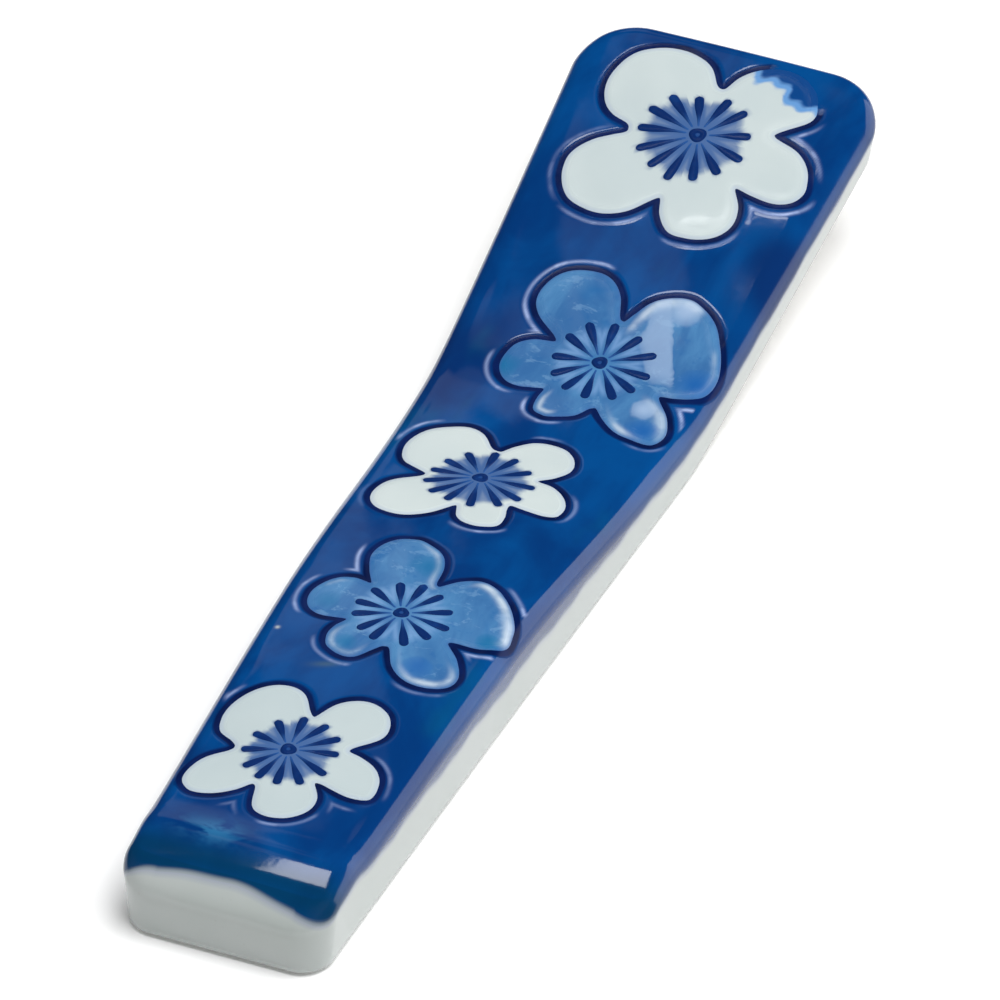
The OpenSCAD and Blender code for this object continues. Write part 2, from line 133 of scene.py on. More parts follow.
def drop(x, y):
    """How far the glazed top lies under the plain profile."""
    d = np.maximum(x + HALF, 0)
    roll = quarter(d, ROLL_LONG, ROLL_DEEP) - quarter(d, NARROW_R, NARROW_R)
    roll = roll * (1 - ROLL_LESS * smooth(1.0, 5.8, y))
    in_from_side = half_w(x) - np.abs(y)
    side_long = SIDE_LONG + (SIDE_LONG_LIP - SIDE_LONG) * smooth(48, 64, d)
    side = quarter(in_from_side, side_long, SIDE_DEEP) - quarter(in_from_side, SIDE_R, SIDE_R)
    side = side * np.where(y > 0, LEFT_SHARE, 1.0)
    ends = smooth(1.5, 7, d) * smooth(0.3, 2.5, HALF - x)
    bead = BEAD_H * bell(d, BEAD_AT, BEAD_W)
    crown = CROWN * (y / half_w(x)) ** 2
    return crown + roll + side * ends - bead + LIP_DOWN * smooth(60, 69, d)


def settle(p):
    """Points moved down by the drop, in full at the top and not at all at the underside."""
    x, y, z = p[..., 0], p[..., 1], p[..., 2]
    low = foot_z(x)
    share = np.clip((z - low) / (top_z(x) - low), 0, 1.1)
    return np.stack([x, y, z - drop(x, y) * share], -1)


def slopes(x, y):
    """Slope of the glazed top along and across."""
    off = 0.02
    along = (top_z(x + off) - drop(x + off, y) - top_z(x - off) + drop(x - off, y)) / (2 * off)
    across = (drop(x, y - off) - drop(x, y + off)) / (2 * off)
    return along, across


def waves(x, y):
    """The slow unevenness of a hand-finished glaze."""
    swell = np.sin(0.83 * x + 0.6 * y + 1.1) + np.sin(0.47 * x - 0.9 * y + 2.3)
    ripple = 0.7 * np.sin(1.31 * x + 0.35 * y + 0.4) + 0.5 * np.sin(-0.9 * x + 1.7 * y)
    return WAVE * smooth(3, 8, x + HALF) * (swell + ripple)


def calm(x, y):
    """1 well inside the flat top and 0 from its edge on, where waves and grooves have died out."""
    in_from_ends = np.minimum(x + HALF - NARROW_R, HALF - LIP_R - x)
    return smooth(0, 0.8, np.minimum(half_w(x) - SIDE_R - np.abs(y), in_from_ends))


def on_top(x, y, h):
    """Point h mm above the glazed top; past the flat width it wraps over the rounded side edge."""
    flat = half_w(x) - SIDE_R
    past = np.clip(np.abs(y) - flat, 0, SIDE_R * 1.4) / SIDE_R
    side = np.sign(y)
    along, across = slopes(x, np.clip(y, -flat, flat))
    up, out = np.cos(past), np.sin(past)
    normal = np.stack([-along * up, side * out - across * up, up], -1)
    normal /= np.linalg.norm(normal, axis=-1, keepdims=True)
    base_y = np.where(past > 0, side * (flat + SIDE_R * out), y)
    base = np.stack([x, base_y, top_z(x) - SIDE_R * (1 - up)], -1)
    return settle(base + normal * (h + waves(x, y) * calm(x, y))[..., None])


def groove(e):
    """Height of the glaze in and beside the groove."""
    return GROOVE * (1 - smooth(0.20, 0.50, e))


def petal_height(e):
    """Height of a petal: a soft round shoulder and a low crown."""
    inside = -e
    shoulder = (PETAL_RISE - GROOVE) * smooth(-0.12, 0.42, inside) ** 0.8
    return GROOVE + PETAL_FOOT + shoulder + PETAL_CROWN * smooth(0.3, 2.2, inside)


# Blossoms, from the narrow end to the lip
# at: the centre's distance from the narrow end, and its y
# edge: points of the petals' edge, as angle from the x axis and radius
# strokes: the stamens, as angle and length
# ridges: the pale line outside the petals, as first angle, last angle, distance and strength
# rims: the light rims in pale petals, as first angle, last angle, width and strength
# rim_soft: over how many degrees these rims fade, and how far in they lie
# patches: patches of colour in pale petals, as kind, x and y from the centre, size and strength
# shade: how far the white is on its way to a duller one
BLOSSOMS = [
    dict(
        at=(11.4, 0.9), white=True, shade=0.5,
        edge=[
            (-4, 2.9), (4, 3.35), (12, 4.45), (20, 5.0), (32, 5.25), (44, 5.15), (60, 4.82),
            (76, 4.36), (88, 3.88), (96, 3.1), (104, 2.8), (111, 3.1), (117, 4.2), (124, 5.02),
            (132, 5.75), (138, 5.93), (144, 5.8), (152, 5.1), (160, 4.1), (168, 3.15), (173, 3.4),
            (180, 4.72), (188, 5.2), (198, 5.32), (208, 5.15), (218, 4.7), (225, 4.0), (231, 2.95),
            (236, 3.3), (243, 4.9), (251, 5.72), (260, 5.5), (268, 5.15), (276, 4.58), (284, 3.75),
            (291, 3.15), (296, 3.5), (302, 4.8), (310, 5.45), (322, 5.8), (332, 5.65), (340, 5.2),
            (348, 4.35),
        ],
        strokes=[
            (4, 2.65), (37, 2.35), (76, 2.25), (110, 2.45), (141, 2.65), (166, 2.75), (190, 2.8),
            (216, 2.85), (246, 2.8), (283, 2.65), (309, 2.8), (335, 2.75),
        ],
        ridges=[
            (44, 66, 0.55, 0.6), (160, 176, 0.9, 0.4), (184, 222, 0.5, 0.5),
            (224, 240, 0.8, 0.5), (252, 288, 0.5, 0.35),
        ],
    ),
    dict(
        at=(23.7, -0.2), white=False,
        edge=[
            (0, 5.65), (8, 6.35), (16, 6.8), (24, 6.76), (32, 6.28), (40, 5.4), (47, 4.1),
            (54, 3.1), (60, 3.85), (68, 4.5), (80, 4.93), (92, 5.12), (104, 4.92), (112, 4.3),
            (121, 2.9), (128, 3.6), (136, 4.22), (148, 4.66), (160, 4.6), (168, 4.28), (176, 3.35),
            (184, 2.85), (191, 3.0), (196, 4.3), (204, 5.42), (214, 6.15), (224, 6.47), (232, 6.05),
            (240, 4.8), (248, 3.45), (252, 3.7), (258, 5.1), (266, 6.0), (278, 6.02), (292, 5.82),
            (306, 5.64), (318, 5.48), (328, 5.1), (336, 4.22), (344, 3.1), (349, 3.35), (354, 4.6),
        ],
        strokes=[
            (24, 2.6), (58, 2.6), (89, 2.6), (113, 2.6), (143, 2.65), (167, 2.7), (206, 2.75),
            (236, 2.65), (263, 2.85), (294, 2.7), (328, 2.65), (356, 2.75),
        ],
        ridges=[
            (38, 62, 0.6, 0.8), (72, 112, 0.6, 0.9), (132, 172, 0.6, 0.7),
            (196, 224, 0.5, 0.3), (244, 318, 0.55, 0.8),
        ],
        rims=[
            (262, 330, 0.55, 0.9), (198, 236, 0.45, 0.8), (-20, 16, 0.40, 0.5),
            (128, 172, 0.4, 0.35), (64, 84, 0.3, 0.35),
        ],
        rim_soft=(10, 0.32),
        patches=[
            ("teal", -0.5, -5.1, 0.7, 0.9), ("deep", -3.7, -2.5, 0.9, 0.75),
            ("teal", -0.4, 4.0, 0.7, 0.6), ("teal", -3.3, 1.8, 0.7, 0.6),
            ("teal", 4.4, 0.2, 1.0, 0.7), ("pale", 1.4, -5.2, 1.2, 0.35),
        ],
    ),
    dict(
        at=(37.2, 1.0), white=True, shade=0.0,
        edge=[
            (2, 2.9), (12, 3.15), (20, 4.25), (28, 4.87), (40, 5.2), (54, 5.45), (68, 5.28),
            (80, 4.9), (90, 4.35), (97, 3.45), (104, 2.95), (110, 3.3), (116, 4.71), (124, 5.6),
            (132, 6.15), (139, 6.3), (148, 5.99), (156, 5.42), (164, 4.45), (172, 3.3), (177, 2.95),
            (184, 3.92), (192, 4.42), (204, 4.68), (214, 4.6), (222, 3.9), (228, 3.25), (235, 2.95),
            (241, 3.6), (248, 4.82), (254, 5.25), (264, 5.1), (274, 4.6), (284, 3.86), (292, 3.05),
            (297, 3.9), (304, 4.85), (314, 5.34), (323, 5.44), (334, 5.12), (344, 4.55), (352, 3.75),
        ],
        strokes=[
            (4, 2.7), (38, 2.55), (69, 2.55), (95, 2.75), (119, 3.05), (141, 3.1), (163, 2.9),
            (191, 2.9), (223, 2.9), (248, 2.95), (276, 3.0), (307, 2.8), (337, 2.75),
        ],
        ridges=[
            (40, 74, 0.6, 0.8), (118, 140, 0.5, 0.25), (180, 220, 0.5, 0.8),
            (246, 280, 0.5, 0.35), (330, 350, 0.45, 0.35),
        ],
    ),
    dict(
        at=(48.9, -1.0), white=False,
        edge=[
            (-2, 3.1), (4, 3.4), (9, 4.75), (16, 5.85), (24, 6.42), (38, 6.8), (48, 6.55),
            (58, 5.85), (64, 4.9), (70, 3.4), (76, 2.95), (83, 4.05), (90, 4.75), (98, 5.1),
            (110, 5.37), (122, 5.15), (130, 4.6), (136, 3.9), (142, 3.45), (148, 4.1), (156, 4.9),
            (164, 4.98), (174, 4.6), (184, 4.15), (192, 3.5), (198, 3.35), (204, 4.25), (210, 5.3),
            (217, 6.1), (226, 6.95), (234, 6.6), (242, 5.6), (253, 4.1), (258, 4.9), (264, 5.85),
            (272, 6.28), (284, 6.45), (298, 6.45), (314, 6.58), (324, 6.5), (332, 6.33), (340, 5.75),
            (348, 4.85), (353, 3.75),
        ],
        strokes=[
            (4, 2.8), (34, 2.9), (62, 2.75), (97, 2.65), (126, 2.7), (155, 2.7), (184, 2.75),
            (217, 2.85), (241, 2.9), (267, 2.95), (298, 3.05), (328, 2.75),
        ],
        ridges=[
            (14, 80, 0.55, 0.95), (96, 136, 0.65, 1.0), (142, 180, 0.5, 1.0),
            (212, 232, 0.45, 0.3), (236, 262, 0.7, 0.9),
        ],
        rims=[
            (318, 352, 0.9, 0.85), (206, 224, 0.5, 0.7), (226, 250, 0.9, 0.6),
            (146, 172, 0.35, 0.6), (262, 300, 0.3, 0.3),
        ],
        rim_soft=(8, 0.34),
        patches=[
            ("pale", 4.7, -3.0, 0.9, 0.8), ("deep", 0.2, -5.4, 0.95, 0.9),
            ("pale", -2.4, -3.5, 0.75, 0.8), ("deep", -4.0, -4.1, 0.85, 0.9),
            ("teal", -1.8, 5.0, 0.9, 0.85),
        ],
    ),
    dict(
        at=(65.15, 0.0), white=True, shade=0.25,
        edge=[
            (0, 3.42), (6, 3.7), (13, 4.78), (22, 5.6), (32, 6.28), (42, 6.76), (52, 7.02),
            (62, 6.85), (72, 6.48), (82, 5.8), (89, 5.0), (94, 4.05), (100, 3.84), (104, 4.1),
            (109, 5.6), (116, 6.8), (124, 7.42), (132, 7.77), (139, 7.9), (148, 7.62), (156, 7.14),
            (164, 6.28), (171, 5.1), (176, 4.65), (181, 5.7), (188, 6.73), (196, 7.08), (204, 7.21),
            (212, 7.06), (219, 6.55), (225, 5.6), (230, 4.35), (235, 5.2), (241, 6.45), (247, 7.1),
            (253, 7.25), (260, 6.96), (268, 6.42), (276, 5.59), (283, 4.5), (288, 4.15), (292, 4.7),
            (297, 6.1), (304, 6.62), (314, 6.9), (324, 6.75), (334, 6.28), (344, 5.45), (352, 4.45),
            (356, 3.6),
        ],
        strokes=[
            (20, 2.7), (48, 3.25), (72, 3.4), (97, 3.35), (123, 3.4), (148, 3.3), (172, 3.45),
            (197, 3.2), (223, 3.05), (252, 3.1), (285, 2.9), (319, 3.0), (345, 2.9),
        ],
        ridges=[
            (96, 140, 0.6, 0.25), (140, 176, 0.65, 0.7), (184, 222, 0.5, 0.6),
            (224, 256, 0.65, 0.9), (262, 296, 0.6, 0.7),
        ],
    ),
]
SHEET = 3  # the blossom with a sheet of pale glaze over one petal
BRUSHED = 4  # the blossom with one petal brushed over with blue


def petal_radius(b, angle):
    """Radius of the petal edge at angles in degrees, a smooth curve through the points."""
    points = sorted((a % 360, r) for a, r in BLOSSOMS[b]["edge"])
    a = np.array([p[0] for p in points])
    r = np.array([p[1] for p in points])
    a = np.concatenate([a[-2:] - 360, a, a[:3] + 360])
    r = np.concatenate([r[-2:], r, r[:3]])
    step = np.diff(r) / np.diff(a)
    slope = np.zeros_like(r)
    slope[1:-1] = np.where(step[:-1] * step[1:] > 0, (r[2:] - r[:-2]) / (a[2:] - a[:-2]), 0.0)
    asked = np.asarray(angle, float) % 360
    k = np.clip(np.searchsorted(a, asked, side="right") - 1, 1, len(a) - 3)
    wide = a[k + 1] - a[k]
    t = (asked - a[k]) / wide
    before = (2 * t**3 - 3 * t**2 + 1) * r[k] + (t**3 - 2 * t**2 + t) * wide * slope[k]
    after = (-2 * t**3 + 3 * t**2) * r[k + 1] + (t**3 - t**2) * wide * slope[k + 1]
    return before + after


def centre_of(b):
    d, y = BLOSSOMS[b]["at"]
    return d - HALF, y


def from_centre(angle, r):
    """x and y from the centre of a blossom."""
    a = np.radians(angle)
    return r * np.cos(a), r * np.sin(a)


def ray(b, angle, r):
    cx, cy = centre_of(b)
    x, y = from_centre(angle, r)
    return cx + x, cy + y


def polar(b, x, y):
    """Distance and angle in degrees from the centre of blossom b."""
    cx, cy = centre_of(b)
    return np.hypot(x - cx, y - cy), np.degrees(np.arctan2(y - cy, x - cx)) % 360


def level_way(x, y):
    """How far a point lies along the line in plan that is level in the photograph."""
    return 0.385 * x - 0.923 * y


def contour(b):
    a = np.arange(0, 360, 0.5)
    return np.stack(ray(b, a, petal_radius(b, a)), -1)


CONTOURS = [contour(b) for b in range(len(BLOSSOMS))]


def edge_distance(b, x, y):
    """Distance from the petal edge, negative inside the petals."""
    pts = np.stack([np.ravel(x), np.ravel(y)], -1)
    out = np.empty(len(pts))
    batch = 4000
    for i in range(0, len(pts), batch):
        part = pts[i : i + batch]
        out[i : i + batch] = np.sqrt(((part[:, None] - CONTOURS[b][None]) ** 2).sum(-1)).min(1)
    r, a = polar(b, pts[:, 0], pts[:, 1])
    return np.where(r < petal_radius(b, a), -out, out).reshape(np.shape(x))


def ridge_mask(b, a, e):
    """How strongly the pale line outside the petals shows at angle a, 0 to 1."""
    total = np.zeros_like(e)
    for first, last, off, strength in BLOSSOMS[b]["ridges"]:
        ends = smooth(first, first + 7, a) * (1 - smooth(last - 7, last, a))
        total = np.maximum(total, strength * ends * bell(e, off + 0.05, 0.10))
    return total


def brushed_sector(a):
    """1 over the angles of the petal that is brushed over."""
    return smooth(299, 305, a) * (1 - smooth(336, 343, a))


# Mesh helpers
def mesh_piece(name, points, faces, node, attrs, material):
    """A smooth mesh piece from points in mm, with float attributes that its material reads."""
    me = bpy.data.meshes.new(name)
    points = np.asarray(points, float).reshape(-1, 3) * MM
    faces = np.asarray(faces, np.int64)
    me.vertices.add(len(points))
    me.vertices.foreach_set("co", points.astype(np.float32).ravel())
    me.loops.add(faces.size)
    me.loops.foreach_set("vertex_index", faces.astype(np.int32).ravel())
    me.polygons.add(len(faces))
    me.polygons.foreach_set("loop_start", np.arange(0, faces.size, faces.shape[1], dtype=np.int32))
    me.update(calc_edges=True)
    me.validate()
    me.polygons.foreach_set("use_smooth", np.ones(len(me.polygons), bool))
    for key, values in attrs.items():
        layer = me.attributes.new(key, "FLOAT", "POINT")
        layer.data.foreach_set("value", np.ravel(values).astype(np.float32))
    me.materials.append(material)
    piece = bpy.data.objects.new(name, me)
    bpy.context.scene.collection.objects.link(piece)
    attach(piece, "root")
    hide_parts(node)


def grid_faces(rows, cols, wrap=False):
    """Quads of a grid of points stored row by row; wrap joins the last column to the first."""
    i = np.arange(rows - 1)[:, None]
    j = np.arange(cols if wrap else cols - 1)[None, :]
    a = i * cols + j
    b = i * cols + (j + 1) % cols
    return np.stack([a, b, b + cols, a + cols], -1).reshape(-1, 4)


# Materials, with linear colours
class Nodes:
    """Short ways to add and link shader nodes. Noise scales are per metre."""

    def __init__(self, tree):
        self.t = tree
        self.coord = self.new("TexCoord").outputs["Object"]

    def new(self, kind):
        return self.t.nodes.new("ShaderNode" + kind)

    def put(self, socket, value):
        if isinstance(value, bpy.types.NodeSocket):
            self.t.links.new(value, socket)
        else:
            socket.default_value = value

    def attr(self, name):
        n = self.new("Attribute")
        n.attribute_name = name
        return n.outputs["Fac"]

    def noise(self, scale, detail=3.0, rough=0.5, stretch=(1, 1, 1), turn=0.0, distort=0.0):
        m = self.new("Mapping")
        self.t.links.new(self.coord, m.inputs["Vector"])
        m.inputs["Scale"].default_value = stretch
        m.inputs["Rotation"].default_value = (0, 0, math.radians(turn))
        n = self.new("TexNoise")
        self.t.links.new(m.outputs[0], n.inputs["Vector"])
        n.inputs["Scale"].default_value = scale
        n.inputs["Detail"].default_value = detail
        n.inputs["Roughness"].default_value = rough
        n.inputs["Distortion"].default_value = distort
        return n.outputs["Fac"]

    def math(self, op, a, b):
        n = self.new("Math")
        n.operation = op
        self.put(n.inputs[0], a)
        self.put(n.inputs[1], b)
        return n.outputs[0]

    def about_zero(self, value, amount):
        """A noise value turned into a swing of half the amount either way."""
        return self.math("MULTIPLY", self.math("SUBTRACT", value, 0.5), amount)

    def span(self, value, lo, hi, to_lo=0.0, to_hi=1.0):
        n = self.new("MapRange")
        n.interpolation_type = "SMOOTHSTEP"
        self.put(n.inputs["Value"], value)
        for key, v in (("From Min", lo), ("From Max", hi), ("To Min", to_lo), ("To Max", to_hi)):
            n.inputs[key].default_value = v
        return n.outputs["Result"]

    def mix(self, fac, a, b):
        n = self.new("Mix")
        n.data_type = "RGBA"
        self.put(n.inputs["Factor"], fac)
        for key, v in (("A", a), ("B", b)):
            sock = [s for s in n.inputs if s.name == key and s.type == "RGBA"][0]
            self.put(sock, (*v, 1.0) if isinstance(v, tuple) else v)
        return [s for s in n.outputs if s.type == "RGBA"][0]

    def tint(self, mask, amount, col, colour):
        """The colour laid over col where the mask is, by at most the amount."""
        return self.mix(self.math("MULTIPLY", mask, amount), col, colour)

    def bump(self, bsdf, height, distance, strength):
        n = self.new("Bump")
        n.inputs["Distance"].default_value = distance
        n.inputs["Strength"].default_value = strength
        self.t.links.new(height, n.inputs["Height"])
        self.t.links.new(n.outputs["Normal"], bsdf.inputs["Normal"])


WHITE = (0.50, 0.545, 0.535)
DEEP = (0.0010, 0.036, 0.170)
BRIGHT = (0.0010, 0.066, 0.255)
NAVY = (0.0015, 0.008, 0.060)
MIDBLUE = (0.028, 0.100, 0.300)
GLOSS = 0.06  # roughness of smooth glaze
FINE_BUMP = 0.00001  # depth in metres of the finest unevenness of the glaze


def new_material(name):
    mat = bpy.data.materials.new(name)
    mat.use_nodes = True
    tree = mat.node_tree
    return mat, Nodes(tree), tree.nodes["Principled BSDF"]


def cobalt_material():
    mat, n, bsdf = new_material("cobalt_glaze_look")
    cloud = n.noise(130, 4, 0.55, (1, 1.6, 1), 12, 0.6)
    streak = n.noise(420, 3, 0.6, (0.25, 1, 1), -8, 0.4)
    tone = n.math("ADD", n.math("MULTIPLY", cloud, 0.75), n.math("MULTIPLY", streak, 0.25))
    col = n.mix(n.span(tone, 0.36, 0.66), DEEP, BRIGHT)
    dark = n.span(n.noise(75, 2, turn=30), 0.56, 0.72)
    col = n.tint(dark, 0.75, col, (0.003, 0.016, 0.10))
    teal = n.span(n.noise(210, 3, 0.5, (0.5, 1, 1), 20), 0.62, 0.78)
    col = n.tint(teal, 0.5, col, (0.002, 0.085, 0.20))
    # Lilac-grey over the rounded side edges: partly thinner glaze, partly painted sheen
    edge = n.attr("rim")
    col = n.tint(n.span(edge, 0.15, 0.8), 0.5, col, (0.032, 0.052, 0.125))
    # Darker over the rounding of the narrow end: partly pooled glaze, partly painted shade
    col = n.mix(n.attr("pool_and_painted_shade"), col, (0.001, 0.035, 0.085))
    patchy = n.span(n.noise(640, 3, 0.6, (1.3, 0.7, 1), 10, 0.5), 0.42, 0.58, 0.0, 0.65)
    col = n.tint(n.attr("light_pool"), patchy, col, (0.035, 0.20, 0.40))
    col = n.tint(n.attr("smudge"), 0.35, col, (0.10, 0.16, 0.13))
    wobble = n.span(n.noise(700, 2), 0.30, 0.62)
    # Pale line outside the groove: glaze thin over the raised ridge, with painted highlight on it
    col = n.tint(n.attr("ridge_and_highlight"), n.math("MAXIMUM", wobble, 0.5), col, (0.40, 0.50, 0.80))
    col = n.mix(n.attr("navy"), col, NAVY)
    col = n.mix(n.attr("fade"), col, WHITE)
    n.put(bsdf.inputs["Base Color"], col)
    relief = n.math("MAXIMUM", n.attr("ridge_and_highlight"), n.attr("navy"))
    dull_edge = n.span(edge, 0.0, 0.5, GLOSS, 0.20)
    dull_relief = n.span(relief, 0.0, 0.4, GLOSS, 0.22)
    n.put(bsdf.inputs["Roughness"], n.math("MAXIMUM", dull_edge, dull_relief))
    n.bump(bsdf, n.noise(900, 2), FINE_BUMP, 0.35)
    return mat


def clear_material():
    mat, n, bsdf = new_material("clear_glaze_look")
    col = n.mix(n.span(n.noise(160, 3), 0.3, 0.7), (0.455, 0.490, 0.480), (0.430, 0.470, 0.455))
    speck = n.span(n.noise(2600, 1), 0.74, 0.80)
    col = n.tint(speck, 0.18, col, (0.35, 0.36, 0.34))
    col = n.mix(n.attr("blue"), col, (0.10, 0.13, 0.36))
    n.put(bsdf.inputs["Base Color"], col)
    bsdf.inputs["Roughness"].default_value = 0.09
    n.bump(bsdf, n.noise(700, 2), FINE_BUMP, 0.35)
    return mat


def clay_material():
    mat, n, bsdf = new_material("bare_clay_look")
    col = n.mix(n.span(n.noise(300, 4), 0.3, 0.7), (0.66, 0.64, 0.59), (0.72, 0.71, 0.67))
    grit = n.span(n.noise(3800, 2, 0.6), 0.66, 0.74)
    col = n.tint(grit, 0.4, col, (0.42, 0.38, 0.32))
    scuff = n.span(n.noise(90, 5, 0.7, (0.3, 1, 1), 15), 0.56, 0.7)
    col = n.tint(scuff, 0.25, col, (0.52, 0.50, 0.46))
    n.put(bsdf.inputs["Base Color"], col)
    bsdf.inputs["Roughness"].default_value = 0.82
    n.bump(bsdf, n.noise(2500, 4, 0.65), 6 * FINE_BUMP, 0.5)
    return mat


def petal_gloss(n, bsdf, edge):
    """Duller at the rounded edge, so that it doesn't glint."""
    n.put(bsdf.inputs["Roughness"], n.span(edge, 0.2, 0.9, 0.30, GLOSS))
    n.bump(bsdf, n.noise(900, 2), FINE_BUMP, 0.3)


def white_petal_material():
    mat, n, bsdf = new_material("white_petal_look")
    col = n.mix(n.span(n.noise(180, 3), 0.3, 0.7), (0.605, 0.675, 0.67), (0.56, 0.635, 0.64))
    col = n.mix(n.attr("shade"), col, (0.42, 0.51, 0.54))
    col = n.mix(n.attr("wash"), col, MIDBLUE)
    edge = n.attr("edge")
    col = n.mix(n.span(edge, 0.08, 0.30, 0.35, 0.0), col, (0.36, 0.44, 0.62))
    ragged = n.attr("ragged")
    brush = n.noise(520, 3, 0.6, (1.5, 0.35, 1), 20)
    torn = n.math("ADD", ragged, n.about_zero(brush, 1.1))
    here = n.span(ragged, 0.02, 0.12)
    col = n.tint(here, n.span(torn, 0.05, 0.35), col, (0.13, 0.31, 0.62))
    col = n.tint(here, n.span(torn, 0.48, 0.85), col, (0.004, 0.055, 0.225))
    n.put(bsdf.inputs["Base Color"], col)
    petal_gloss(n, bsdf, edge)
    return mat


def pale_petal_material():
    mat, n, bsdf = new_material("pale_blue_petal_look")
    brush = n.noise(330, 4, 0.6, (0.5, 1.3, 1), 25, 0.5)
    col = n.mix(n.span(brush, 0.32, 0.68), (0.038, 0.140, 0.350), (0.076, 0.230, 0.460))
    teal = n.span(n.noise(240, 3, 0.55, turn=70, distort=0.8), 0.57, 0.74)
    col = n.tint(teal, 0.75, col, (0.018, 0.13, 0.36))
    light = n.span(n.noise(900, 4, 0.7, (1.2, 0.8, 1), 35, 0.4), 0.56, 0.66)
    col = n.tint(light, 0.35, col, (0.20, 0.38, 0.60))
    spot = n.span(n.noise(1500, 2, 0.6), 0.62, 0.70)
    col = n.tint(spot, 0.30, col, (0.020, 0.12, 0.36))
    broken = n.span(n.noise(900, 2), 0.3, 0.6, 0.5, 1.0)
    # Lighter rims along the petal edges: thin glaze with painted highlight
    col = n.tint(n.attr("thin_rim_and_highlight"), broken, col, (0.56, 0.66, 0.76))
    col = n.mix(n.attr("wash"), col, (0.17, 0.32, 0.58))
    uneven = n.about_zero(n.noise(480, 3, 0.6, turn=10, distort=0.5), 0.7)
    colours = {"pale": (0.37, 0.50, 0.70), "teal": (0.010, 0.15, 0.34), "deep": (0.012, 0.110, 0.38)}
    for key, colour in colours.items():
        amount = n.attr(key)
        here = n.span(n.math("ADD", amount, uneven), 0.16, 0.34)
        col = n.tint(amount, here, col, colour)
    edge = n.attr("edge")
    col = n.mix(n.span(edge, 0.04, 0.16, 0.4, 0.0), col, (0.05, 0.12, 0.36))
    n.put(bsdf.inputs["Base Color"], col)
    petal_gloss(n, bsdf, edge)
    return mat


def pigment_gloss(bsdf):
    """Pigment under the glaze: duller, so that it stays dark."""
    bsdf.inputs["Roughness"].default_value = 0.20
    bsdf.inputs["Specular IOR Level"].default_value = 0.15


def outline_material():
    mat, n, bsdf = new_material("outline_look")
    col = n.mix(n.span(n.noise(500, 3), 0.3, 0.7), (0.0015, 0.007, 0.050), (0.003, 0.014, 0.090))
    width = n.math("ADD", n.attr("edge"), n.about_zero(n.noise(380, 3), 0.25))
    col = n.mix(n.span(width, 0.26, 0.42), col, (0.001, 0.036, 0.165))
    n.put(bsdf.inputs["Base Color"], col)
    pigment_gloss(bsdf)
    return mat


def stamen_material():
    mat, n, bsdf = new_material("stamen_look")
    col = n.mix(n.span(n.attr("tip"), 0.02, 0.50), (0.022, 0.090, 0.30), (0.004, 0.023, 0.120))
    col = n.mix(n.span(n.noise(800, 2), 0.55, 0.75, 0.0, 0.5), col, (0.008, 0.050, 0.22))
    n.put(bsdf.inputs["Base Color"], col)
    pigment_gloss(bsdf)
    return mat


# Plan of the top: rows of points along the rest, and the rim all round it
# NCX, NCY and LCX, LCY are the corners' centres at the narrow end and at the lip
NCX = -HALF + NARROW_CORNER_R
NCY = float(half_w(np.array(NCX))) - NARROW_CORNER_R
LCX = HALF - LIP_CORNER_R
LCY = float(half_w(np.array(LCX))) - LIP_CORNER_R

corner = np.linspace(0, 90, CORNER_N + 1)
narrow_turn = np.radians(corner[:-1])
lip_turn = np.radians(corner[1:])
side_x = np.linspace(NCX, LCX, int((LCX - NCX) / STEP) + 1)
narrow_x = NCX - (NARROW_CORNER_R - NARROW_R) * np.cos(narrow_turn)
lip_x = LCX + (LIP_CORNER_R - LIP_R) * np.sin(lip_turn)
narrow_widths = NCY + (NARROW_CORNER_R - SIDE_R) * np.sin(narrow_turn)
lip_widths = LCY + (LIP_CORNER_R - SIDE_R) * np.cos(lip_turn)
stations = np.concatenate([narrow_x, side_x, lip_x])
widths = np.concatenate([narrow_widths, half_w(side_x) - SIDE_R, lip_widths])
rows = len(stations)


# A rim point is its x and y with no inset, how the insets of the narrow end, the side and the lip
# move it, and the radius of its edge
def rim_end(y, narrow):
    if narrow:
        return (-HALF, y, 1, 0, 0, NARROW_R)
    return (HALF, y, 0, 0, -1, LIP_R)


def rim_side(x, side):
    return (x, side * float(half_w(np.array(x))), 0, -side, 0, SIDE_R)


def rim_corner(a, side, narrow):
    c, s = math.cos(math.radians(a)), math.sin(math.radians(a))
    t = a / 90
    if narrow:
        r = NARROW_R + (SIDE_R - NARROW_R) * t
        return (NCX - NARROW_CORNER_R * c, side * (NCY + NARROW_CORNER_R * s), c, -side * s, 0, r)
    r = SIDE_R + (LIP_R - SIDE_R) * t
    return (LCX + LIP_CORNER_R * s, side * (LCY + LIP_CORNER_R * c), 0, -side * c, -s, r)


def long_side(side):
    """Rim points of one long side with its corners, and their numbers in the grid of the top."""
    points, numbers = [], []
    for i in range(1, rows - 1):
        past_side = i - CORNER_N - len(side_x)
        if i < CORNER_N:
            points.append(rim_corner(corner[i], side, True))
        elif past_side < 0:
            points.append(rim_side(stations[i], side))
        else:
            points.append(rim_corner(corner[1 + past_side], side, False))
        numbers.append(i * (ACROSS + 1) + (0 if side < 0 else ACROSS))
    return points, numbers


def whole_rim():
    """The rim from the left end of the narrow end, over the right side, the lip and the left side."""
    steps = range(ACROSS + 1)
    narrow = [rim_end((1 - 2 * j / ACROSS) * NCY, True) for j in steps]
    lip = [rim_end((2 * j / ACROSS - 1) * LCY, False) for j in steps]
    narrow_numbers = [ACROSS - j for j in steps]
    lip_numbers = [(rows - 1) * (ACROSS + 1) + j for j in steps]
    right, right_numbers = long_side(-1.0)
    left, left_numbers = long_side(1.0)
    points = narrow + right + lip + left[::-1]
    numbers = narrow_numbers + right_numbers + lip_numbers + left_numbers[::-1]
    return np.array(points), np.array(numbers)


rim, rim_numbers = whole_rim()
loop = len(rim)
rim_r = rim[:, 5]
rim_side_h = top_z(rim[:, 0]) - rim_r - foot_z(rim[:, 0])
edge_run = rim_r * math.pi / 2


